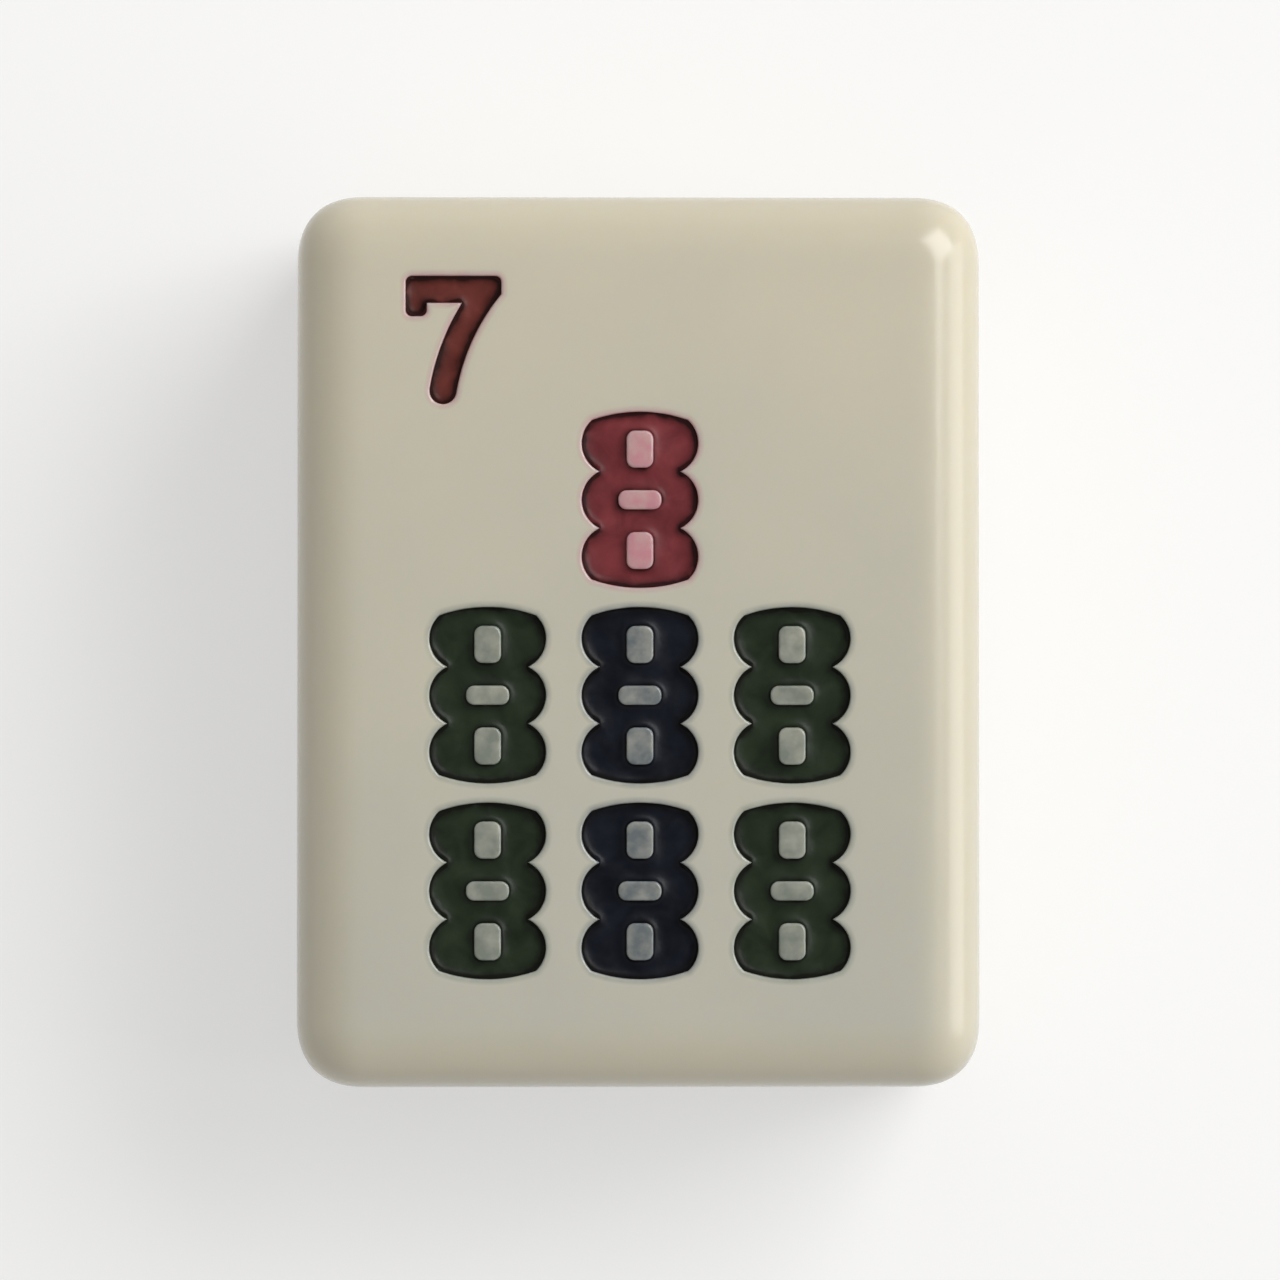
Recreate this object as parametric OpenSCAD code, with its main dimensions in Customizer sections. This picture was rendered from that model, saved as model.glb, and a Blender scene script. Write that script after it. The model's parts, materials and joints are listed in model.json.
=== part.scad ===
// Mahjong tile, the seven of the bamboo suit. A moulded block has eight pockets engraved in its
// face: seven bamboo sticks and an index numeral. Each pocket is filled with paint that dries a
// little below the face. The tile lies on its back: the origin is the middle of the back, +Y points
// to the top of the face and +Z points out of the face. Lengths are in millimetres.

/* [Block] */
// Width of the tile, across the face
tile_w = 23; // [20:0.5:32]
// Height of the tile, up the face
tile_h = 30; // [27:0.5:42]
// Thickness of the tile, from its back to its face
tile_t = 14; // [8:0.5:24]
// Radius of every outside edge and corner
edge_r = 2; // [0.6:0.1:2.4]

/* [Engraving] */
// Depth of the pockets below the face
pocket_depth = 0.6; // [0.35:0.05:1.5]
// How far the dried paint lies below the face
paint_recess = 0.2; // [0.05:0.05:0.3]

/* [Bamboo sticks] */
// Width of a stick across its lobes
stick_w = 3.9; // [3.6:0.1:4.6]
// Height of a stick from foot to cap
stick_h = 5.9; // [5.4:0.1:6.4]
// Height of the knot, the lobe in the middle of a stick
knot_h = 2.1; // [1.7:0.1:2.3]
// How far the cap and the foot run into the knot
lobe_overlap = 0.2; // [0.1:0.05:0.5]
// Radius of the arc across each end of a stick
crown_r = 4.8; // [2.5:0.1:8]
// Width of the upright island of bare block in the cap and in the foot
slot_w = 0.9; // [0.8:0.05:1.4]
// Height of the upright island
slot_h = 1.25; // [0.8:0.05:1.5]
// From the middle of a stick to the middle of an upright island
slot_rise = 1.7; // [1.5:0.02:1.9]
// Width of the level island of bare block in the knot
bar_w = 1.45; // [0.8:0.05:2.2]
// Height of the level island
bar_h = 0.65; // [0.6:0.05:0.9]
// Radius of the corners of the islands
island_r = 0.28; // [0.1:0.02:0.28]

/* [Layout of the sticks] */
// Bare block between two columns of sticks
column_gap = 1.2; // [0.6:0.1:1.6]
// Bare block between two rows of sticks
row_gap = 0.65; // [0.3:0.05:1]
// From the bottom edge of the tile to the lowest sticks
foot_margin = 3.65; // [2.6:0.05:4.4]

/* [Index numeral] */
// Width of the numeral
index_w = 3.2; // [2.8:0.05:3.6]
// Height of the numeral
index_h = 4.3; // [3.8:0.1:4.8]
// Width of the numeral's stroke
index_stroke = 0.9; // [0.6:0.05:1]
// How far the tick at the left end of the bar hangs below the bar
index_tick = 0.45; // [0.3:0.05:0.8]
// Width of the tick
index_tick_w = 0.7; // [0.5:0.05:1]
// From the left of the numeral to the middle of its stem at the foot
index_stem_x = 1.25; // [0.6:0.05:1.6]
// Radius of the stem's bend, on its middle line
index_bend_r = 7.5; // [4:0.5:20]
// Radius of the corners of the bar and the tick
index_corner_r = 0.2; // [0.1:0.05:0.25]
// From the left edge of the tile to the numeral
index_left = 3.65; // [2.6:0.05:4.2]
// From the top edge of the tile to the numeral
index_top = 2.8; // [2.5:0.1:3.5]

/* [Colours] */
// Moulded block
block_colour = "#c6c2b1"; // [#c6c2b1:ivory, #eeece6:white, #d8b978:amber]
// Paint in the numeral and the top stick
red = "#7a2e34"; // [#7a2e34:crimson, #b3202a:scarlet]
// Paint in the sticks of the outer columns
green = "#252f1f"; // [#252f1f:dark green, #2c6b45:bright green]
// Paint in the sticks of the middle column
navy = "#0d131f"; // [#0d131f:navy, #24407c:bright blue]

/* [Hidden] */
$fn = 64;
// How far a cutting shape runs past the surface that it opens
cut_over = 1;
pocket_floor_z = tile_t - pocket_depth;
paint_thickness = pocket_depth - paint_recess;
lobe_h = (stick_h - knot_h) / 2 + lobe_overlap;
column_pitch = stick_w + column_gap;
row_pitch = stick_h + row_gap;
low_row_y = -tile_h / 2 + foot_margin + stick_h / 2;
index_x = -tile_w / 2 + index_left;
index_y = tile_h / 2 - index_top - index_h;

// Each stick's node, column from the middle of the tile, row from the bottom and paint
STICKS = [
    ["stick_top_paint", 0, 2, red],
    ["stick_mid_left_paint", -1, 1, green],
    ["stick_mid_centre_paint", 0, 1, navy],
    ["stick_mid_right_paint", 1, 1, green],
    ["stick_low_left_paint", -1, 0, green],
    ["stick_low_centre_paint", 0, 0, navy],
    ["stick_low_right_paint", 1, 0, green],
];

// Middle of a stick on the face
function stick_place(stick) = [stick[1] * column_pitch, low_row_y + stick[2] * row_pitch];

// Middle of the circle of radius r through points a and b, on the right when going from a to b
function arc_centre(a, b, r) =
    let (span = b - a, half = norm(span) / 2)
    (a + b) / 2 + [span[1], -span[0]] / norm(span) * sqrt(r * r - half * half);

// Rectangle about the origin with round corners
module round_rectangle(w, h, r) {
    square([w - 2 * r, h], center = true);
    square([w, h - 2 * r], center = true);
    for (x = [-1, 1], y = [-1, 1])
        translate([x * (w / 2 - r), y * (h / 2 - r)]) circle(r);
}

// Level bar about the origin with half-round ends
module round_bar(w, h) {
    square([w - h, h], center = true);
    for (end = [-1, 1])
        translate([end * (w - h) / 2, 0]) circle(d = h);
}

// Block standing on z = 0 with every edge and corner rounded to one radius
module round_block(w, h, t, r) {
    translate([0, 0, r]) linear_extrude(t - 2 * r) round_rectangle(w, h, r);
    translate([r - w / 2, r - h / 2, 0]) cube([w - 2 * r, h - 2 * r, t]);
    for (z = [r, t - r]) {
        for (y = [-1, 1])
            translate([0, y * (h / 2 - r), z])
                rotate([0, 90, 0]) cylinder(h = w - 2 * r, r = r, center = true);
        for (x = [-1, 1])
            translate([x * (w / 2 - r), 0, z])
                rotate([90, 0, 0]) cylinder(h = h - 2 * r, r = r, center = true);
        for (x = [-1, 1], y = [-1, 1])
            translate([x * (w / 2 - r), y * (h / 2 - r), z]) sphere(r);
    }
}

// Outline of one bamboo stick about its middle: a cap, a knot and a foot with crowned ends
module stick_outline() {
    intersection() {
        union() {
            round_bar(stick_w, knot_h);
            for (end = [-1, 1])
                translate([0, end * (stick_h - lobe_h) / 2]) round_bar(stick_w, lobe_h);
        }
        translate([0, stick_h / 2 - crown_r]) circle(crown_r);
        translate([0, crown_r - stick_h / 2]) circle(crown_r);
    }
}

// Engraved shape of one stick: its outline without the three islands that stay bare
module stick_mark() {
    difference() {
        stick_outline();
        round_rectangle(bar_w, bar_h, island_r);
        for (end = [-1, 1])
            translate([0, end * slot_rise]) round_rectangle(slot_w, slot_h, island_r);
    }
}

// Engraved shape of the numeral seven, from its lower left corner: a bar whose right end is cut
// along the stem, a tick under its left end, and a bent stem with a round foot
module index_mark() {
    head = [index_w - index_stroke / 2, index_h - index_stroke / 2];
    foot = [index_stem_x, index_stroke / 2];
    bend = arc_centre(foot, head, index_bend_r);
    tick_h = index_stroke + index_tick;
    difference() {
        translate([index_w / 2, head[1]])
            round_rectangle(index_w, index_stroke, index_corner_r);
        translate(bend) circle(index_bend_r - index_stroke / 2);
    }
    translate([index_tick_w / 2, index_h - tick_h / 2])
        round_rectangle(index_tick_w, tick_h, index_corner_r);
    translate(foot) circle(d = index_stroke);
    intersection() {
        translate(bend) difference() {
            circle(index_bend_r + index_stroke / 2);
            circle(index_bend_r - index_stroke / 2);
        }
        polygon([bend, 2 * head - bend, 2 * foot - bend]);
    }
}

// Fills the engraved shape below from the pocket floor up to a height above it
module from_pocket_floor(height) {
    translate([0, 0, pocket_floor_z]) linear_extrude(height) children();
}

module tile_block() {
    color(block_colour) difference() {
        round_block(tile_w, tile_h, tile_t, edge_r);
        from_pocket_floor(pocket_depth + cut_over) {
            translate([index_x, index_y]) index_mark();
            for (stick = STICKS)
                translate(stick_place(stick)) stick_mark();
        }
    }
}

module index_numeral_paint() {
    color(red) from_pocket_floor(paint_thickness)
        translate([index_x, index_y]) index_mark();
}

module stick_paint(stick) {
    color(stick[3]) from_pocket_floor(paint_thickness)
        translate(stick_place(stick)) stick_mark();
}

tile_block();
index_numeral_paint();
for (stick = STICKS)
    stick_paint(stick);
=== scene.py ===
"""Mahjong tile, the seven of the bamboo suit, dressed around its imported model.

A moulded block has eight pockets engraved in its face: seven bamboo sticks and an index numeral.
Each pocket is filled with enamel that wets the walls and dries lower in the middle. The places and
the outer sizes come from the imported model, and the finer shapes from the settings below. The tile
lies on its back, with +Y to the top of the face and +Z out of the face. Lengths are in metres.
"""

import json
import math

import bpy
import numpy as np
from bpy.props import FloatProperty, FloatVectorProperty, PointerProperty
from bpy.types import Operator, Panel, PropertyGroup
from mathutils import Matrix, Vector
from mathutils.geometry import delaunay_2d_cdt


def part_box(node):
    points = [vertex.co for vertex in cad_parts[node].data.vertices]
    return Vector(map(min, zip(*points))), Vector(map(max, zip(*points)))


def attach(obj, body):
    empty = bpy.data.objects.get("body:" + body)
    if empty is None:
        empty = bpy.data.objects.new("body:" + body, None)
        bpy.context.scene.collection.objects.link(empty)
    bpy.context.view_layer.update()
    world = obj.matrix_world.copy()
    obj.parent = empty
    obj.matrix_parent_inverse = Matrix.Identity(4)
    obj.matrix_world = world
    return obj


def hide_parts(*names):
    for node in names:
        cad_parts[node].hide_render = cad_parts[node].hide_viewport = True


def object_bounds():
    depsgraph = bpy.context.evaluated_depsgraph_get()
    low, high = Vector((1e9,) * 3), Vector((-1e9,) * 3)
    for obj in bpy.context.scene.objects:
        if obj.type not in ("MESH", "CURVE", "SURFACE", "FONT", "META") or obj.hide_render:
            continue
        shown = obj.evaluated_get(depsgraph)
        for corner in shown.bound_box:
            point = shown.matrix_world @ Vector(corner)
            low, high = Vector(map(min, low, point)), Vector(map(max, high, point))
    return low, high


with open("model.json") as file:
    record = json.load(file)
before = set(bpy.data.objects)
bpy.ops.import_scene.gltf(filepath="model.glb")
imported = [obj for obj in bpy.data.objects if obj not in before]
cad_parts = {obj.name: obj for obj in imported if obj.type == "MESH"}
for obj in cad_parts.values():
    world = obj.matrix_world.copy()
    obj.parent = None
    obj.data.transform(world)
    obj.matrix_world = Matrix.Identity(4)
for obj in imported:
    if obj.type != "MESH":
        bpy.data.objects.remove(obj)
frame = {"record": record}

bl_info = {
    "name": "Mahjong Tile",
    "version": (1, 0, 0),
    "blender": (4, 5, 0),
    "location": "View3D > Sidebar > Tile",
    "description": "Dresses a mahjong tile: its moulded block, the enamel in its engraving, and a stage",
    "category": "Add Mesh",
}

MM = 0.001
CAD_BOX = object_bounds()
BODY = "root"
BLOCK = "tile_block"
NUMERAL = "index_numeral_paint"
SLOTS = {row["node"]: row["material_slot"] for row in frame["record"]["subparts"]}
STICKS = sorted(node for node in SLOTS if node.startswith("stick_"))

# Points along the curves, enough for a smooth line at the size of the render
CORNER_STEPS = 20
EDGE_STEPS = 18
LIP_STEPS = 5
KNOT_STEPS = 16
LOBE_STEPS = 24
CROWN_STEPS = 20
ISLAND_STEPS = 6
ISLAND_RUN_STEPS = 5
NUMERAL_CORNER_STEPS = 6
NUMERAL_STEM_STEPS = 36
NUMERAL_CAP_STEPS = 14
NUMERAL_RUN_STEPS = 20
# Where the enamel's surface has points: near the walls, then on a grid that is turned, so that it
# lines up with no outline, and stays clear of the walls
MENISCUS_STEPS = np.array((0.02, 0.05, 0.09, 0.14, 0.19)) * MM
GRID_STEP = 0.1 * MM
GRID_TURN = math.radians(17)
GRID_CLEAR = 0.06 * MM
LEAST_SPACING = 0.03 * MM
# What is left of a rounding at its end: a share of the block's corner radius, and an island's radius
LEAST_SPREAD = 0.02
LEAST_ISLAND_R = 0.02 * MM
# Share of its own step that a point beside one wall keeps from all other walls
MENISCUS_CLEAR = 0.9
# Points nearer than this, in millimetres, are one point to the triangulation
SAME_POINT = 1e-6
# Headings of the waves in the enamel; a longer heading is a shorter wave
WAVE_HEADINGS = np.array(((1.0, 0.35), (-0.55, 0.9), (0.3, -1.25)))
# Edges that fold more than this are shown sharp
SHARP_FOLD = math.radians(38)
# Gap between the floor and the back of the tile, so that the two never share a plane
FLOOR_GAP = 0.02 * MM
# Share of the floor's own even white in what is seen of it
FLOOR_GLOW = 0.5
# Share of the melamine that a film of enamel covers: clear of a pocket, at its lip, on its wall and
# on the islands, which the wiping leaves dull
CLEAN, LIP_STAIN, WALL_STAIN, ISLAND_STAIN = 0.0, 0.4, 1.0, 0.85
# Share of painted shade on the enamel beside the outer wall of a pocket, and beside an island
WALL_PAINTED_SHADE, ISLAND_PAINTED_SHADE = 1.0, 0.4
# Strength of the enamel's tint where it lies deep and thin, and the haze on the thin parts
DEEP_TINT, THIN_TINT, THIN_HAZE = 0.75, 1.3, 0.003
# Sockets of a Mix node that mixes colours; their names repeat, so they go by number
MIX_SHARE, MIX_FROM, MIX_TO, MIX_RESULT = 0, 6, 7, 2


def linear(code):
    """Linear RGBA of an sRGB hex colour: a straight line for the darkest values, then a power."""
    srgb = np.array([int(code[at:at + 2], 16) for at in (1, 3, 5)]) / 255
    light = np.where(srgb <= 0.04045, srgb / 12.92, ((srgb + 0.055) / 1.055) ** 2.4)
    return (*light.tolist(), 1.0)


def size(name, description, millimetres):
    """A length that a user may change, kept in metres and written here in millimetres."""
    return FloatProperty(name=name, description=description, default=millimetres * MM, unit="LENGTH",
                         precision=5)


def colour(name, description, code):
    """A colour that a user may change, written here as an sRGB hex value."""
    return FloatVectorProperty(name=name, description=description, default=linear(code), size=4,
                               min=0, max=1, subtype="COLOR")


class BlockSettings(PropertyGroup):
    """Shape and colours of the moulded block."""

    edge_reach: size("Edge reach", "How far the rounding of an edge reaches along each face", 2.4)
    edge_power: FloatProperty(name="Edge power", default=2.5, min=2, max=4,
                              description="Exponent of the rounding: 2 is a circle, more is flatter")
    lip_r: size("Lip radius", "Radius of the edge of each pocket", 0.08)
    wall_draft: size("Wall draft", "How far a pocket's wall leans in on its way to the floor", 0.03)
    stain_reach: size("Stain reach", "How far enamel has crept past the lip of a pocket", 0.15)
    # ivory is the face's colour towards its foot and warm_ivory towards its top; the change between them
    # along the face is painted light, and random clouds mix them too
    ivory: colour("Ivory", "Melamine where it is clean and cool", "#bebcaf")
    warm_ivory: colour("Warm ivory", "Melamine where it has yellowed", "#cec7b3")
    edge_ivory: colour("Edge ivory", "Melamine along the handled edges", "#cac2ab")


class StickSettings(PropertyGroup):
    """Shape of one engraved bamboo stick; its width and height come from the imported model."""

    knot_h: size("Knot height", "Height of the lobe in the middle of a stick", 2.1)
    lobe_overlap: size("Lobe overlap", "How far the cap and the foot run into the knot", 0.2)
    crown_r: size("Crown radius", "Radius of the arc across each end", 4.8)
    slot_w: size("Slot width", "Width of the upright islands", 0.9)
    slot_h: size("Slot height", "Height of the upright islands", 1.25)
    slot_rise: size("Slot rise", "From the middle of a stick to an upright island", 1.7)
    bar_w: size("Bar width", "Width of the level island", 1.45)
    bar_h: size("Bar height", "Height of the level island", 0.65)
    island_r: size("Island radius", "Radius of the corners of the islands", 0.28)


class NumeralSettings(PropertyGroup):
    """Shape of the engraved numeral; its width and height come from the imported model."""

    stroke: size("Stroke", "Width of the stroke", 0.9)
    tick_drop: size("Tick drop", "How far the tick hangs below the bar", 0.45)
    tick_w: size("Tick width", "Width of the tick", 0.7)
    stem_x: size("Stem place", "From the left of the numeral to the middle of the foot", 1.25)
    bend_r: size("Bend radius", "Radius of the stem's middle line", 7.5)
    corner_r: size("Corner radius", "Radius of the corners of the bar and the tick", 0.2)


class EnamelSettings(PropertyGroup):
    """Surface and colours of the enamel in the pockets."""

    dip: size("Dip", "How far the middle of the enamel lies below the face", 0.25)
    meniscus: size("Meniscus", "Distance over which the enamel falls away from a wall", 0.11)
    soften: size("Soften", "Distance over which the pulls of two walls run together", 0.2)
    wave_h: size("Wave height", "Height of the waves left by filling by hand", 0.008)
    wave_length: size("Wave length", "Length of those waves", 1.3)
    red_paint: colour("Crimson", "Enamel of the top stick", "#6e2c30")
    # Painted shade: the crimson made darker for the shade in the numeral's narrow, deeper stroke
    numeral_paint: colour("Numeral crimson", "Enamel of the numeral, deeper in its narrow stroke",
                          "#632c26")
    green_paint: colour("Green", "Enamel of the outer columns", "#1e2819")
    navy_paint: colour("Navy", "Enamel of the middle column", "#080d18")
    red_paint_film: colour("Crimson film", "Melamine seen through a thin film of crimson", "#c48991")
    green_paint_film: colour("Green film", "Melamine seen through a thin film of green", "#80857b")
    navy_paint_film: colour("Navy film", "Melamine seen through a thin film of navy", "#6a7072")
    # Colour of the painted shade that darkens the enamel along the walls of the pockets
    dirt: colour("Dirt", "Dirt along the walls of the pockets", "#0d0a08")


class StageSettings(PropertyGroup):
    """Floor, light and camera."""

    floor: colour("Floor", "Pale studio floor", "#f3f2f0")
    floor_w: size("Floor width", "Width of the floor", 6000)
    camera_height: size("Camera height", "From the face of the tile up to the camera", 316)
    camera_left: size("Camera left", "How far the camera stands to the left of the tile", 7.4)
    camera_down: size("Camera down", "How far the camera stands towards the foot of the tile", 8.2)
    tile_share: FloatProperty(name="Tile share", default=0.7, min=0.1, max=1, subtype="FACTOR",
                              description="Share of the picture's height that the tile takes")
    lamp_w: size("Lamp width", "Width of each soft lamp", 450)
    lamp_distance: size("Lamp distance", "From the tile to each lamp", 700)
    key_turn: FloatProperty(name="Key turn", default=math.radians(38), subtype="ANGLE",
                            description="Direction of the key lamp, turned from +X towards +Y")
    key_climb: FloatProperty(name="Key climb", default=math.radians(46), subtype="ANGLE",
                             description="Height of the key lamp above the floor, as an angle")
    key_level: FloatProperty(name="Key level", default=0.73, min=0,
                             description="Key light; 1 shows a colour that faces it as written")
    side_turn: FloatProperty(name="Side turn", default=math.radians(4), subtype="ANGLE",
                             description="Direction of the side lamp, turned from +X towards +Y")
    side_climb: FloatProperty(name="Side climb", default=math.radians(20), subtype="ANGLE",
                              description="Height of the side lamp above the floor, as an angle")
    side_level: FloatProperty(name="Side level", default=0.3, min=0,
                              description="Side light; 1 shows a colour that faces it as written")
    sky_level: FloatProperty(name="Sky level", default=0.4, min=0,
                             description="Even light from all around; 1 shows a colour as written")
    sky_top: FloatProperty(name="Sky top", default=0.22, min=0,
                           description="Brightness of the sky overhead, where it is seen or reflected")


class TileSettings(PropertyGroup):
    """All settings of the tile."""

    block: PointerProperty(type=BlockSettings)
    stick: PointerProperty(type=StickSettings)
    numeral: PointerProperty(type=NumeralSettings)
    enamel: PointerProperty(type=EnamelSettings)
    stage: PointerProperty(type=StageSettings)


def arc(centre, radius, start, end, steps):
    """Points of an arc: the centre plus the radius along evenly spaced directions."""
    angle = np.linspace(start, end, steps + 1)
    return np.asarray(centre) + radius * np.column_stack((np.cos(angle), np.sin(angle)))


def direction(centre, point):
    """Angle at which a point is seen from a centre."""
    return math.atan2(point[1] - centre[1], point[0] - centre[0])


def crossing(a, a_r, b, b_r):
    """Where two circles cross, to the right of the way from a to b: along that way to the line that
    both circles share, then sideways by what is left of a's radius."""
    way = b - a
    gap = np.hypot(*way)
    along = (a_r ** 2 - b_r ** 2 + gap ** 2) / (2 * gap)
    aside = math.sqrt(a_r ** 2 - along ** 2)
    return a + (along * way + aside * np.array((way[1], -way[0]))) / gap


def with_runs(curves, steps, closed):
    """Curves joined by straight runs, each run split evenly."""
    part = np.arange(1, steps)[:, None] / steps
    following = curves[1:] + curves[:1] if closed else curves[1:]
    runs = [end[-1] + part * (start[0] - end[-1]) for end, start in zip(curves, following)]
    pieces = [piece for pair in zip(curves, runs) for piece in pair]
    return np.concatenate(pieces if closed else pieces + curves[-1:])


def from_quarter(quarter):
    """A closed loop, anticlockwise, from the quarter that goes from the x axis to the y axis: the
    quarter and its three mirror images, run on from one to the next."""
    back = quarter[::-1]
    turns = (quarter, (1, 1)), (back, (-1, 1)), (quarter, (-1, -1)), (back, (1, -1))
    return np.concatenate([side[:-1] * sign for side, sign in turns])


def stick_outline(stick, width, height, out):
    """Outline of a stick, moved out from the enamel: arcs of the knot, of the round end of a lobe and
    of the crown, each with its radius grown by as much, from one crossing to the next."""
    knot_r = stick.knot_h / 2
    lobe_r = (height - stick.knot_h) / 4 + stick.lobe_overlap / 2
    knot = np.array((width / 2 - knot_r, 0))
    lobe = np.array((width / 2 - lobe_r, height / 2 - lobe_r))
    crown = np.array((0, height / 2 - stick.crown_r))
    notch = crossing(knot, knot_r + out, lobe, lobe_r + out)
    shoulder = crossing(crown, stick.crown_r + out, lobe, lobe_r + out)
    quarter = np.concatenate((
        arc(knot, knot_r + out, 0, direction(knot, notch), KNOT_STEPS)[:-1],
        arc(lobe, lobe_r + out, direction(lobe, notch), direction(lobe, shoulder), LOBE_STEPS)[:-1],
        arc(crown, stick.crown_r + out, direction(crown, shoulder), np.pi / 2, CROWN_STEPS),
    ))
    return from_quarter(quarter)


def island_outline(width, height, radius, rise, out):
    """Outline of an island, moved out from the enamel and so inwards: a rectangle with arcs for
    corners, run clockwise because the enamel lies outside it."""
    half = np.array((width, height)) / 2 - out
    corner_r = max(radius - out, LEAST_ISLAND_R)
    corner = arc(half - corner_r, corner_r, 0, np.pi / 2, ISLAND_STEPS)
    quarter = with_runs([np.array([[half[0], 0]]), corner, np.array([[0, half[1]]])],
                        ISLAND_RUN_STEPS, closed=False)
    return from_quarter(quarter)[::-1] + (0, rise)


def numeral_outline(numeral, width, height, out):
    """Outline of the numeral about the middle of its box, moved out from the enamel. It goes along the
    top of the bar, round the tick, along the bar's lower edge, down the stem's left arc, round the
    foot, up the stem's right arc and up the bar's end. Every arc's radius changes by as much."""
    half = numeral.stroke / 2
    head = np.array((width - half, height - half))
    foot = np.array((numeral.stem_x, half))
    chord = head - foot
    span = np.hypot(*chord)
    reach = math.sqrt(numeral.bend_r ** 2 - (span / 2) ** 2)
    bend = (foot + head) / 2 + reach * np.array((chord[1], -chord[0])) / span
    left_r = numeral.bend_r + half + out
    right_r = numeral.bend_r - half - out
    bar_y = height - numeral.stroke - out
    tick_y = height - numeral.stroke - numeral.tick_drop
    foot_turn = direction(bend, foot)
    bar_turn = np.pi - math.asin((bar_y - bend[1]) / left_r)
    end_turn = np.pi - math.acos((bend[0] - width - out) / right_r)
    corner_r = numeral.corner_r
    quarter = np.pi / 2

    def corner(x, y, start):
        return arc((x, y), corner_r + out, start, start + quarter, NUMERAL_CORNER_STEPS)

    curves = [
        corner(width - corner_r, height - corner_r, 0),
        corner(corner_r, height - corner_r, quarter),
        corner(corner_r, tick_y + corner_r, 2 * quarter),
        corner(numeral.tick_w - corner_r, tick_y + corner_r, 3 * quarter),
        np.array([[numeral.tick_w + out, bar_y]]),
        arc(bend, left_r, bar_turn, foot_turn, NUMERAL_STEM_STEPS)[:-1],
        arc(foot, half + out, foot_turn, foot_turn + np.pi, NUMERAL_CAP_STEPS)[:-1],
        arc(bend, right_r, foot_turn, end_turn, NUMERAL_STEM_STEPS),
    ]
    return with_runs(curves, NUMERAL_RUN_STEPS, closed=True) - np.array((width, height)) / 2


def engraving(settings, node):
    """The loops that bound a node's enamel, each a function of how far it is moved out from the enamel
    into the block. Walking along a loop, the enamel lies on the left."""
    low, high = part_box(node)
    middle = np.array((low + high)[:2]) / 2
    width, height = (high - low)[:2]
    stick = settings.stick
    if node == NUMERAL:
        return [lambda out: numeral_outline(settings.numeral, width, height, out) + middle]
    islands = ((stick.slot_w, stick.slot_h, stick.slot_rise), (stick.bar_w, stick.bar_h, 0),
               (stick.slot_w, stick.slot_h, -stick.slot_rise))
    return [lambda out: stick_outline(stick, width, height, out) + middle] + [
        lambda out, form=form: island_outline(form[0], form[1], stick.island_r, form[2], out) + middle
        for form in islands]


def at_height(loop, z):
    """A flat loop as points in space."""
    return np.column_stack((loop, np.full(len(loop), z)))


def crosses_odd(places, edges):
    """Whether each place lies inside the edges: a ray to its right crosses an odd number of them."""
    (ax, ay), (bx, by) = edges[:, 0].T, edges[:, 1].T
    x, y = places[:, :1], places[:, 1:]
    spans = (ay > y) != (by > y)
    rise = np.where(by == ay, 1, by - ay)
    return (spans & (x < ax + (y - ay) * (bx - ax) / rise)).sum(axis=1) % 2 == 1


def loop_edges(loop):
    """Pairs of neighbours round a closed loop."""
    return np.stack((loop, np.roll(loop, -1, axis=0)), axis=1)


def left_of(loop, step):
    """A closed loop's points, each moved to the left of the line through its two neighbours."""
    along = np.roll(loop, -1, axis=0) - np.roll(loop, 1, axis=0)
    left = np.column_stack((-along[:, 1], along[:, 0])) / np.hypot(*along.T)[:, None]
    return loop + step * left


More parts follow.
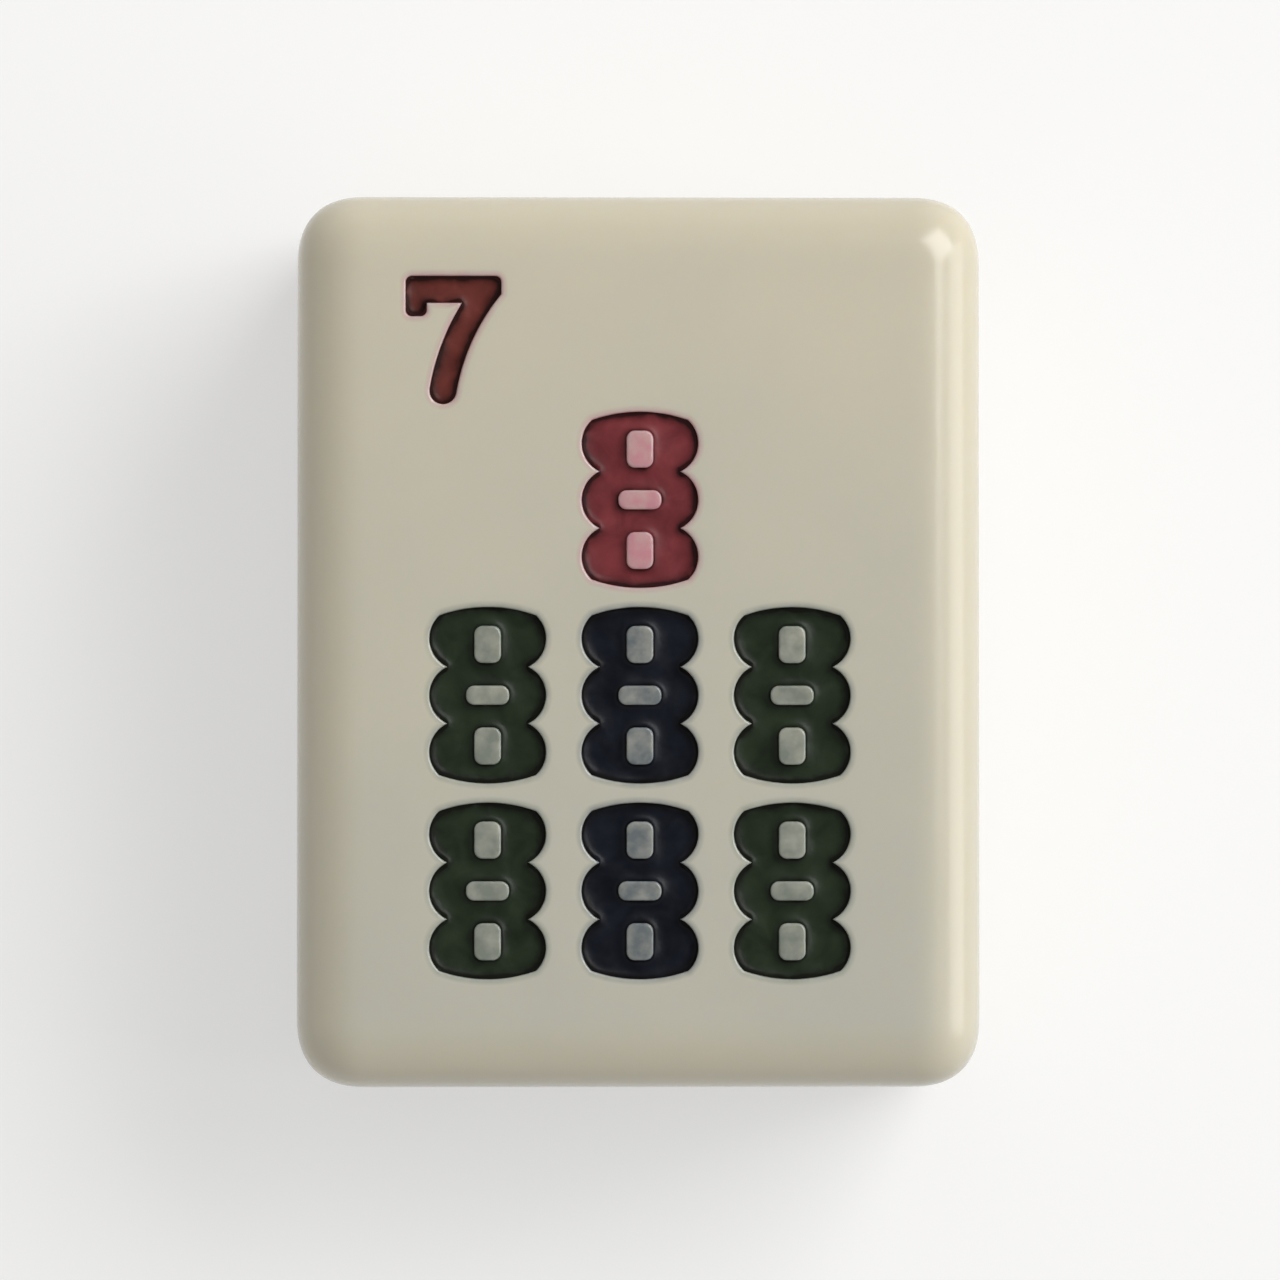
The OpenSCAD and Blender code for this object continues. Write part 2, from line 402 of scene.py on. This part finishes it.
class Shell:
    """The points and faces of one piece, put together from rings, strips and fills."""

    def __init__(self):
        self.points = np.empty((0, 3))
        self.stain = np.empty((0, 4))
        # Per point: edge wear on the block, painted shade along the walls on the enamel
        self.grime = np.empty(0)
        self.faces = []
        self.smooth = []

    def add(self, points, stain=(0, 0, 0, 0), grime=0.0):
        """Adds points, and gives their indices in the same arrangement."""
        form = points.shape[:-1]
        first = len(self.points)
        self.points = np.concatenate((self.points, points.reshape(-1, 3)))
        self.stain = np.concatenate((self.stain, np.broadcast_to(stain, (*form, 4)).reshape(-1, 4)))
        self.grime = np.concatenate((self.grime, np.broadcast_to(grime, form).ravel()))
        return first + np.arange(math.prod(form)).reshape(form)

    def skin(self, rings):
        """Joins neighbouring rings, from the highest to the lowest, by quads. The quads face to the left
        of the way round the rings."""
        high, low = rings[:-1], rings[1:]
        quads = np.stack((high, np.roll(high, -1, axis=1), np.roll(low, -1, axis=1), low), axis=-1)
        self.faces += quads.reshape(-1, 4).tolist()
        self.smooth += [True] * high.size

    def fill(self, loops, spare=(), up=True, smooth=False):
        """Fills the region between loops, with spare points inside it: the Delaunay triangles that keep
        the loops' edges, without those whose middle lies outside the region."""
        used = np.concatenate((*loops, np.asarray(spare, int)))
        flat = self.points[used, :2] / MM
        starts = np.cumsum([0] + [len(loop) for loop in loops])
        edges = np.concatenate([at + loop_edges(np.arange(len(loop)))
                                for at, loop in zip(starts, loops)])
        corners, _, triangles, *_ = delaunay_2d_cdt(flat.tolist(), edges.tolist(), [], 0, SAME_POINT)
        if len(corners) != len(used):
            raise RuntimeError("the outlines of an engraving touch each other")
        triangles = np.array(triangles)
        triangles = triangles[crosses_odd(flat[triangles].mean(axis=1), flat[edges])]
        self.faces += used[triangles if up else triangles[:, ::-1]].tolist()
        self.smooth += [smooth] * len(triangles)

    def make(self, node, material):
        """Makes the mesh and its object, which replaces the node of the same name."""
        piece_name = node + "_dressed"
        mesh = bpy.data.meshes.new(piece_name)
        mesh.from_pydata(self.points.tolist(), [], self.faces)
        mesh.polygons.foreach_set("use_smooth", self.smooth)
        mesh.set_sharp_from_angle(angle=SHARP_FOLD)
        if mesh.validate():
            raise RuntimeError(f"the mesh of {node} has broken faces")
        stain = mesh.attributes.new("stain", "FLOAT_COLOR", "POINT")
        stain.data.foreach_set("color", self.stain.ravel())
        grime = mesh.attributes.new("grime", "FLOAT", "POINT")
        grime.data.foreach_set("value", self.grime)
        mesh.materials.append(material)
        piece = bpy.data.objects.new(piece_name, mesh)
        bpy.context.scene.collection.objects.link(piece)
        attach(piece, BODY)
        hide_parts(node)


def add_node(tree, kind, inputs=None, **settings):
    """Adds a node with its settings. An input takes a value, or a link from another node's socket."""
    node = tree.nodes.new(kind)
    for name, value in settings.items():
        setattr(node, name, value)
    for name, value in (inputs or {}).items():
        if isinstance(value, bpy.types.NodeSocket):
            tree.links.new(value, node.inputs[name])
        else:
            node.inputs[name].default_value = value
    return node


def new_material(name):
    """An empty node material, and its node tree."""
    material = bpy.data.materials.new(name)
    material.use_nodes = True
    material.node_tree.nodes.clear()
    return material, material.node_tree


def polished_melamine(block):
    """Melamine, moulded under heat and polished by tumbling. The resin takes light in a millimetre deep,
    so its shades are soft. It has clouds of yellowing, and painted light makes it lighter and warmer
    towards the top of the face. The gloss is even, with faint waves from the polishing, hair scratches
    from play and duller, yellower edges where hands have held it. Round the pockets a film of enamel is
    left in patches by the wiping."""
    material, tree = new_material("melamine_moulded_polished")
    place = add_node(tree, "ShaderNodeTexCoord").outputs["Object"]
    cloud = add_node(tree, "ShaderNodeTexNoise", {
        "Vector": place, "Scale": 1 / (9 * MM), "Detail": 3.0, "Roughness": 0.5}).outputs["Fac"]
    # Painted light: the face turns lighter and warmer towards its top, added to the random clouds
    up_face = add_node(tree, "ShaderNodeSeparateXYZ", {"Vector": place}).outputs["Y"]
    painted_top_light = add_node(tree, "ShaderNodeMapRange", {
        "Value": up_face, "From Min": CAD_BOX[0][1], "From Max": CAD_BOX[1][1],
        "To Min": -0.5, "To Max": 0.5})
    yellowed_and_top_lit = add_node(tree, "ShaderNodeMath", {0: cloud, 1: painted_top_light.outputs["Result"]}).outputs[0]
    clouded_and_top_lit = add_node(tree, "ShaderNodeMix", {
        MIX_SHARE: yellowed_and_top_lit, MIX_FROM: block.ivory, MIX_TO: block.warm_ivory},
        data_type="RGBA").outputs[MIX_RESULT]
    grime = add_node(tree, "ShaderNodeAttribute", attribute_name="grime").outputs["Fac"]
    edge_share = add_node(tree, "ShaderNodeMapRange", {"Value": grime, "To Max": 0.7}).outputs["Result"]
    edged = add_node(tree, "ShaderNodeMix", {
        MIX_SHARE: edge_share, MIX_FROM: clouded_and_top_lit, MIX_TO: block.edge_ivory},
        data_type="RGBA").outputs[MIX_RESULT]
    stain = add_node(tree, "ShaderNodeAttribute", attribute_name="stain")
    wiping = add_node(tree, "ShaderNodeTexNoise", {
        "Vector": place, "Scale": 1 / (0.6 * MM), "Detail": 3.0}).outputs["Fac"]
    wiped = add_node(tree, "ShaderNodeMapRange", {
        "Value": wiping, "From Min": 0.3, "From Max": 0.7,
        "To Min": 0.7, "To Max": 1.25}).outputs["Result"]
    covered = add_node(tree, "ShaderNodeMath", {
        0: stain.outputs["Alpha"], 1: wiped}, operation="MULTIPLY").outputs[0]
    stained = add_node(tree, "ShaderNodeMix", {
        MIX_SHARE: covered, MIX_FROM: edged, MIX_TO: stain.outputs["Color"]},
        data_type="RGBA").outputs[MIX_RESULT]

    smudge = add_node(tree, "ShaderNodeTexNoise", {
        "Vector": place, "Scale": 1 / (4 * MM), "Detail": 4.0, "Distortion": 0.6}).outputs["Fac"]
    polish = add_node(tree, "ShaderNodeMapRange", {
        "Value": smudge, "From Min": 0.2, "From Max": 0.8,
        "To Min": 0.17, "To Max": 0.22}).outputs["Result"]
    worn = add_node(tree, "ShaderNodeMath", {
        0: grime, 1: 0.035, 2: polish}, operation="MULTIPLY_ADD").outputs[0]

    # Hair scratches are a few microns wide; they are drawn 0.1 mm wide so that they show
    streaks = add_node(tree, "ShaderNodeMapping", {
        "Vector": place, "Rotation": (0, 0, math.radians(38)),
        "Scale": (1 / (0.1 * MM), 1 / (5 * MM), 1 / MM)})
    scratches = add_node(tree, "ShaderNodeTexNoise", {
        "Vector": streaks.outputs["Vector"], "Scale": 1.0, "Detail": 2.0}).outputs["Fac"]
    waves = add_node(tree, "ShaderNodeTexNoise", {
        "Vector": place, "Scale": 1 / (2.5 * MM), "Detail": 1.0}).outputs["Fac"]
    waved = add_node(tree, "ShaderNodeBump", {"Height": waves, "Distance": 0.01 * MM, "Strength": 1.0})
    scratched = add_node(tree, "ShaderNodeBump", {
        "Height": scratches, "Distance": 0.001 * MM, "Strength": 1.0, "Normal": waved.outputs["Normal"]})
    shader = add_node(tree, "ShaderNodeBsdfPrincipled", {
        "Base Color": stained, "Roughness": worn, "IOR": 1.55, "Normal": scratched.outputs["Normal"],
        "Subsurface Weight": 0.6, "Subsurface Radius": (1.0, 0.75, 0.5), "Subsurface Scale": 0.9 * MM})
    add_node(tree, "ShaderNodeOutputMaterial", {"Surface": shader.outputs["BSDF"]})
    return material


def wiped_enamel(name, tint, dirt):
    """Enamel, brushed into the pockets and wiped off the face. It dries to a soft gloss with lap marks
    about a millimetre wide, is a little lighter where it lies thin, and has painted shade in patches
    along the walls, where the walls shade it; there its gloss is lowered too."""
    material, tree = new_material(name)
    place = add_node(tree, "ShaderNodeTexCoord").outputs["Object"]
    laps = add_node(tree, "ShaderNodeTexNoise", {
        "Vector": place, "Scale": 1 / (1.1 * MM), "Detail": 4.0, "Distortion": 0.8}).outputs["Fac"]
    lap_share = add_node(tree, "ShaderNodeMapRange", {
        "Value": laps, "From Min": 0.3, "From Max": 0.7}).outputs["Result"]
    tint = np.array(tint[:3])
    deep = (*(DEEP_TINT * tint).tolist(), 1)
    thin = (*(THIN_TINT * tint + THIN_HAZE).tolist(), 1)
    mottled = add_node(tree, "ShaderNodeMix", {
        MIX_SHARE: lap_share, MIX_FROM: deep, MIX_TO: thin}, data_type="RGBA").outputs[MIX_RESULT]
    # The attribute holds the painted shade along the walls of the pocket
    grime = add_node(tree, "ShaderNodeAttribute", attribute_name="grime").outputs["Fac"]
    patches = add_node(tree, "ShaderNodeTexNoise", {
        "Vector": place, "Scale": 1 / (0.7 * MM), "Detail": 2.0}).outputs["Fac"]
    patch_share = add_node(tree, "ShaderNodeMapRange", {
        "Value": patches, "From Min": 0.3, "From Max": 0.7,
        "To Min": 0.25, "To Max": 1.3}).outputs["Result"]
    patchy_shade = add_node(tree, "ShaderNodeMath", {
        0: grime, 1: patch_share}, operation="MULTIPLY").outputs[0]
    shade_share = add_node(tree, "ShaderNodeMapRange", {
        "Value": patchy_shade, "From Min": 0.02, "From Max": 0.35, "To Max": 0.85}).outputs["Result"]
    shade_rimmed = add_node(tree, "ShaderNodeMix", {
        MIX_SHARE: shade_share, MIX_FROM: mottled, MIX_TO: dirt}, data_type="RGBA").outputs[MIX_RESULT]
    # The specular level drops where the shade is painted, so the painted rims stay dark
    shine = add_node(tree, "ShaderNodeMapRange", {
        "Value": shade_share, "To Min": 0.19, "To Max": 0.08}).outputs["Result"]
    grain = add_node(tree, "ShaderNodeTexNoise", {
        "Vector": place, "Scale": 1 / (0.25 * MM), "Detail": 3.0}).outputs["Fac"]
    gloss = add_node(tree, "ShaderNodeMapRange", {
        "Value": grain, "From Min": 0.3, "From Max": 0.7,
        "To Min": 0.3, "To Max": 0.42}).outputs["Result"]
    skin = add_node(tree, "ShaderNodeBump", {"Height": grain, "Distance": 0.006 * MM, "Strength": 1.0})
    shader = add_node(tree, "ShaderNodeBsdfPrincipled", {
        "Base Color": shade_rimmed, "Roughness": gloss, "IOR": 1.48, "Specular IOR Level": shine,
        "Normal": skin.outputs["Normal"]})
    add_node(tree, "ShaderNodeOutputMaterial", {"Surface": shader.outputs["BSDF"]})
    return material


def block_rings(half, top, reach, power):
    """Rings of the block from its face to its back, clockwise, and the share of edge wear at each point.
    A ring is a rectangle with superelliptic corners about four fixed centres. As the ring goes up or
    down the rounding, its corner radius and its height follow the same superellipse. The wear is the
    sine of twice the angle, so it is most in the middle of each rounding."""
    share = 2 / power
    least = math.asin(LEAST_SPREAD ** (1 / share))
    climb = np.linspace(np.pi / 2 - least, 0, EDGE_STEPS + 1)
    spread = np.cos(climb) ** share
    lift = np.sin(climb) ** share
    lift[0] = 1
    turn = np.linspace(0, np.pi / 2, CORNER_STEPS + 1)
    corner = np.abs(np.column_stack((np.cos(turn), np.sin(turn)))) ** share

    def ring(spread_here, z):
        middle = half - reach
        edge = middle + reach * spread_here
        quarter = np.concatenate(([[edge[0], 0]], middle + reach * spread_here * corner, [[0, edge[1]]]))
        return at_height(from_quarter(quarter)[::-1], z)

    heights = np.concatenate((top - reach + reach * lift, (reach - reach * lift)[::-1]))
    spreads = np.concatenate((spread, spread[::-1]))
    level_grime = np.sin(2 * np.concatenate((climb, climb[::-1])))
    corner_grime = np.concatenate(([0], np.sin(2 * turn), [0]))
    turn_grime = from_quarter(np.column_stack((corner_grime, corner_grime)))[::-1, 0]
    grime = np.maximum(level_grime[:, None], np.abs(turn_grime) * spreads[:, None])
    return np.stack([ring(*row) for row in zip(spreads, heights)]), grime


def pocket_profile(block, depth):
    """Section of a pocket's edge from the face down: columns of distance out from the enamel, height
    above the face, and stain. A flat margin, a quarter circle for the lip, then a leaning wall."""
    turn = np.linspace(0, np.pi / 2, LIP_STEPS + 1)
    lip = np.column_stack((
        block.lip_r * (1 - np.sin(turn)), block.lip_r * (np.cos(turn) - 1),
        LIP_STAIN + (WALL_STAIN - LIP_STAIN) * np.sin(turn / 2) ** 2 * 2))
    margin = (block.lip_r + block.stain_reach, 0, CLEAN)
    return np.concatenate(([margin], lip, [(-block.wall_draft, -depth, WALL_STAIN)]))


class TILE_OT_block(Operator):
    """Makes the moulded block with its engraved pockets"""

    bl_idname = "tile.block"
    bl_label = "Block"

    def execute(self, context):
        settings = context.scene.mahjong_tile
        block = settings.block
        low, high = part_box(BLOCK)
        shell = Shell()
        half = np.array((high - low)[:2]) / 2
        rings, grime = block_rings(half, high.z, block.edge_reach, block.edge_power)
        outside = shell.add(rings, grime=grime)
        shell.skin(outside)
        shell.fill([outside[-1]], up=False)
        face_loops = [outside[0]]
        for node in [NUMERAL] + STICKS:
            film = getattr(settings.enamel, SLOTS[node] + "_film")
            profile = pocket_profile(block, high.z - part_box(node)[0].z)
            floor_loops = []
            for number, loop in enumerate(engraving(settings, node)):
                rings = np.stack([at_height(loop(out), high.z + rise) for out, rise, _ in profile])
                covered = np.maximum(profile[:, 2], ISLAND_STAIN if number else CLEAN)
                stain = np.array([(*film[:3], share) for share in covered])[:, None]
                pocket = shell.add(rings, stain=stain)
                shell.skin(pocket)
                face_loops.append(pocket[0])
                floor_loops.append(pocket[-1])
            shell.fill(floor_loops)
        shell.fill(face_loops)
        shell.make(BLOCK, polished_melamine(block))
        return {"FINISHED"}


def wall_share(enamel, places, edges):
    """How near each place is to the walls: 1 at a wall, falling to 0 by an exponential. Each stretch of
    edge gives a Gaussian pull, and the sum of the pulls is turned back into one soft distance."""
    middle = edges.mean(axis=1)
    length = np.hypot(*(edges[:, 1] - edges[:, 0]).T)
    square = ((places[:, None] - middle) ** 2).sum(axis=-1) / enamel.soften ** 2
    pull = (np.exp(-square) * length).sum(axis=1) / (math.sqrt(np.pi) * enamel.soften)
    soft = enamel.soften * np.sqrt(np.maximum(0, -np.log(pull)))
    return np.exp(-soft / enamel.meniscus)


def enamel_height(enamel, places, nearness, lip_r):
    """Height of the enamel against the face: from the lip at the walls it falls to its dip. Three
    crossing sine waves, which fade towards the walls, make it uneven."""
    headings = WAVE_HEADINGS * 2 * np.pi / enamel.wave_length
    waves = np.sin(places @ headings.T).sum(axis=1)
    return -enamel.dip + (enamel.dip - lip_r) * nearness + enamel.wave_h * waves * (1 - nearness)


def wall_distance(places, edges):
    """Distance from each place to the nearest edge, by the nearest point of every edge."""
    start = edges[:, 0]
    span = edges[:, 1] - start
    way = places[:, None] - start
    along = np.clip((way * span).sum(axis=-1) / (span ** 2).sum(axis=-1), 0, 1)
    return np.linalg.norm(way - along[..., None] * span, axis=-1).min(axis=1)


def make_enamel(settings, node, material):
    """The enamel of one pocket: a top surface over the loops, walls against the block, and a floor. The
    top has points along the walls, at set steps from them, and on a grid in the rest."""
    block, enamel = settings.block, settings.enamel
    face_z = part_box(BLOCK)[1].z
    floor_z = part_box(node)[0].z
    loops = engraving(settings, node)
    outlines = [loop(0) for loop in loops]
    edges = np.concatenate([loop_edges(outline) for outline in outlines])
    middle = edges.mean(axis=(0, 1))
    span = np.arange(-np.ptp(edges[..., 1]), np.ptp(edges[..., 1]), GRID_STEP)
    across, up = np.meshgrid(span, span)
    grid = middle + np.stack((across * math.cos(GRID_TURN) - up * math.sin(GRID_TURN),
                              across * math.sin(GRID_TURN) + up * math.cos(GRID_TURN)), axis=-1)
    candidates = [
        (np.concatenate([left_of(outline, step) for outline in outlines]), MENISCUS_CLEAR * step)
        for step in MENISCUS_STEPS]
    candidates.append((grid.reshape(-1, 2), GRID_CLEAR))
    inner = np.concatenate([
        places[crosses_odd(places, edges) & (wall_distance(places, edges) > clear)]
        for places, clear in candidates])
    _, kept = np.unique(np.round(inner / LEAST_SPACING), axis=0, return_index=True)
    inner = inner[np.sort(kept)]
    nearness = wall_share(enamel, inner, edges)
    height = face_z + enamel_height(enamel, inner, nearness, block.lip_r)
    # Painted shade on the enamel: darkest beside the outer wall, weaker beside the islands
    outer_nearness = wall_share(enamel, inner, loop_edges(outlines[0]))
    dirt = np.maximum(WALL_PAINTED_SHADE * outer_nearness, ISLAND_PAINTED_SHADE * nearness)

    shell = Shell()
    spare = shell.add(np.column_stack((inner, height)), grime=dirt)
    walls = [shell.add(np.stack((at_height(outline, face_z - block.lip_r),
                                 at_height(loop(-block.wall_draft), floor_z)))[:, ::-1],
                       grime=ISLAND_PAINTED_SHADE if number else WALL_PAINTED_SHADE)
             for number, (outline, loop) in enumerate(zip(outlines, loops))]
    for wall in walls:
        shell.skin(wall)
    shell.fill([wall[0] for wall in walls], spare=spare, smooth=True)
    shell.fill([wall[-1] for wall in walls], up=False)
    shell.make(node, material)


class TILE_OT_sticks(Operator):
    """Makes the enamel of the seven bamboo sticks"""

    bl_idname = "tile.sticks"
    bl_label = "Bamboo sticks"

    def execute(self, context):
        settings = context.scene.mahjong_tile
        enamel = settings.enamel
        finishes = {slot: wiped_enamel("enamel_wiped_" + slot, getattr(enamel, slot), enamel.dirt)
                    for slot in sorted({SLOTS[node] for node in STICKS})}
        for node in STICKS:
            make_enamel(settings, node, finishes[SLOTS[node]])
        return {"FINISHED"}


class TILE_OT_numeral(Operator):
    """Makes the enamel of the index numeral"""

    bl_idname = "tile.numeral"
    bl_label = "Index numeral"

    def execute(self, context):
        settings = context.scene.mahjong_tile
        enamel = settings.enamel
        # The numeral's enamel is the crimson with painted shade, darker than the sticks' crimson
        finish = wiped_enamel("enamel_wiped_numeral", enamel.numeral_paint, enamel.dirt)
        make_enamel(settings, NUMERAL, finish)
        return {"FINISHED"}


def seen_directly(tree):
    """A socket that is 1 where a camera, a reflection or a clear piece shows the surface, and 0 where
    the surface only gives light to others."""
    ray = add_node(tree, "ShaderNodeLightPath").outputs
    shown = add_node(tree, "ShaderNodeMath", {
        0: ray["Is Camera Ray"], 1: ray["Is Glossy Ray"]}, operation="MAXIMUM").outputs[0]
    return add_node(tree, "ShaderNodeMath", {
        0: shown, 1: ray["Is Transmission Ray"]}, operation="MAXIMUM").outputs[0]


def studio_floor(stage):
    """Painted studio floor, matt and near white. Half of what is seen of it is its own even white, so
    that it stays pale under plain light and still shows the tile's shadow."""
    material, tree = new_material("painted_studio_floor")
    direct = seen_directly(tree)
    share = add_node(tree, "ShaderNodeMath", {
        0: direct, 1: FLOOR_GLOW}, operation="MULTIPLY").outputs[0]
    paint = add_node(tree, "ShaderNodeBsdfDiffuse", {"Color": stage.floor})
    white = add_node(tree, "ShaderNodeEmission", {"Strength": 1.0})
    mixed = add_node(tree, "ShaderNodeMixShader", {
        0: share, 1: paint.outputs["BSDF"], 2: white.outputs["Emission"]})
    add_node(tree, "ShaderNodeOutputMaterial", {"Surface": mixed.outputs["Shader"]})
    return material


def studio_sky(stage):
    """Even light from all around. Where it is seen directly or in a reflection, it is white at the
    horizon and dims towards the top."""
    world = bpy.data.worlds.new("studio")
    world.use_nodes = True
    tree = world.node_tree
    tree.nodes.clear()
    direct = seen_directly(tree)
    heading = add_node(tree, "ShaderNodeTexCoord").outputs["Generated"]
    climb = add_node(tree, "ShaderNodeSeparateXYZ", {"Vector": heading}).outputs["Z"]
    shown = add_node(tree, "ShaderNodeMapRange", {
        "Value": climb, "From Min": 0.1, "From Max": 0.9, "To Min": 1.0, "To Max": stage.sky_top})
    level = add_node(tree, "ShaderNodeMix", {
        "Factor": direct, "A": stage.sky_level, "B": shown.outputs["Result"]}).outputs["Result"]
    sky = add_node(tree, "ShaderNodeBackground", {"Color": (1, 1, 1, 1), "Strength": level})
    add_node(tree, "ShaderNodeOutputWorld", {"Surface": sky.outputs["Background"]})
    return world


def add_lamp(stage, target, name, turn, climb, level):
    """A soft lamp that faces the target. Its power is the level times pi squared times the distance
    squared, which gives that level on a surface that faces it."""
    aside = math.cos(climb)
    towards = Vector((aside * math.cos(turn), aside * math.sin(turn), math.sin(climb)))
    light = bpy.data.lights.new(name, "AREA")
    light.shape = "SQUARE"
    light.size = stage.lamp_w
    light.energy = level * math.pi ** 2 * stage.lamp_distance ** 2
    lamp = bpy.data.objects.new(name, light)
    lamp.location = target + towards * stage.lamp_distance
    lamp.rotation_euler = towards.to_track_quat("Z", "Y").to_euler()
    bpy.context.scene.collection.objects.link(lamp)


class TILE_OT_stage(Operator):
    """Makes the floor, the light and the camera"""

    bl_idname = "tile.stage"
    bl_label = "Stage"

    def execute(self, context):
        stage = context.scene.mahjong_tile.stage
        scene = context.scene
        low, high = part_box(BLOCK)
        face = Vector((0, 0, high.z))

        half = stage.floor_w / 2
        mesh = bpy.data.meshes.new("floor")
        corners = [(-half, -half), (half, -half), (half, half), (-half, half)]
        mesh.from_pydata([(x, y, -FLOOR_GAP) for x, y in corners], [], [(0, 1, 2, 3)])
        mesh.materials.append(studio_floor(stage))
        floor = bpy.data.objects.new("floor", mesh)
        scene.collection.objects.link(floor)

        add_lamp(stage, face, "key_lamp", stage.key_turn, stage.key_climb, stage.key_level)
        add_lamp(stage, face, "side_lamp", stage.side_turn, stage.side_climb, stage.side_level)
        scene.world = studio_sky(stage)

        camera_data = bpy.data.cameras.new("camera")
        camera = bpy.data.objects.new("camera", camera_data)
        from_face = Vector((-stage.camera_left, -stage.camera_down, stage.camera_height))
        camera.location = face + from_face
        back = from_face.normalized()
        right = Vector((0, 1, 0)).cross(back).normalized()
        camera.rotation_euler = Matrix((right, back.cross(right), back)).transposed().to_euler()
        picture_h = (high.y - low.y) / stage.tile_share
        camera_data.lens = camera_data.sensor_width * from_face.length / picture_h
        scene.collection.objects.link(camera)
        scene.camera = camera
        scene.view_settings.view_transform = "Standard"
        return {"FINISHED"}


OPERATORS = (TILE_OT_block, TILE_OT_sticks, TILE_OT_numeral, TILE_OT_stage)


class TILE_PT_panel(Panel):
    """Lists the pieces of the tile"""

    bl_idname = "TILE_PT_panel"
    bl_label = "Mahjong Tile"
    bl_space_type = "VIEW_3D"
    bl_region_type = "UI"
    bl_category = "Tile"

    def draw(self, context):
        for operator in OPERATORS:
            self.layout.operator(operator.bl_idname)


CLASSES = (BlockSettings, StickSettings, NumeralSettings, EnamelSettings, StageSettings, TileSettings,
           *OPERATORS, TILE_PT_panel)


def register():
    """Registers the classes and hangs the settings on the scene."""
    for cls in CLASSES:
        bpy.utils.register_class(cls)
    bpy.types.Scene.mahjong_tile = PointerProperty(type=TileSettings)


def unregister():
    """Takes the settings off the scene and removes the classes."""
    del bpy.types.Scene.mahjong_tile
    for cls in reversed(CLASSES):
        bpy.utils.unregister_class(cls)


def main():
    """Makes every piece and the stage."""
    register()
    bpy.ops.tile.block()
    bpy.ops.tile.sticks()
    bpy.ops.tile.numeral()
    bpy.ops.tile.stage()


if __name__ == "__main__":
    main()
